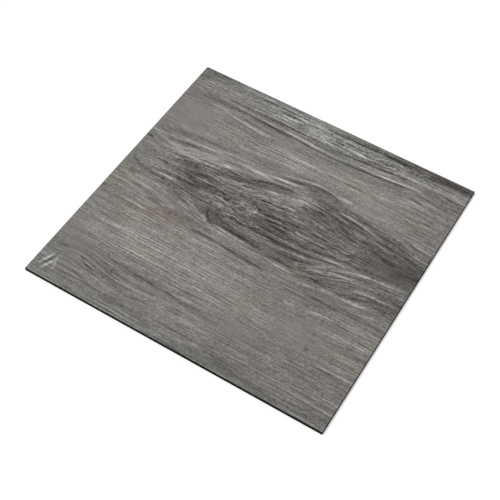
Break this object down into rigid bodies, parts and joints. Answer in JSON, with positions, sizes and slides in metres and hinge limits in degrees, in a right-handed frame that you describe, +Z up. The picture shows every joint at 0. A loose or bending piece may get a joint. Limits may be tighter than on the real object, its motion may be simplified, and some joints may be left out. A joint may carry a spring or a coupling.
{
  "type": "vinyl floor tile",
  "caption": "Square resilient floor tile with a grey wood-grain print, a fine face bevel, a dark core and plain butt edges, for laying edge to edge.",
  "frame": {"origin": "centre of the tile's back, on the subfloor", "axes": "+X along the printed grain, +Y across the grain, +Z up out of the walked-on face"},
  "size_m": [0.3048, 0.3048, 0.0032],
  "materials": {
    "printed_vinyl": "satin"
  },
  "bodies": {
    "root": {"floor_tile": "printed_vinyl"}
  },
  "joints": []
}
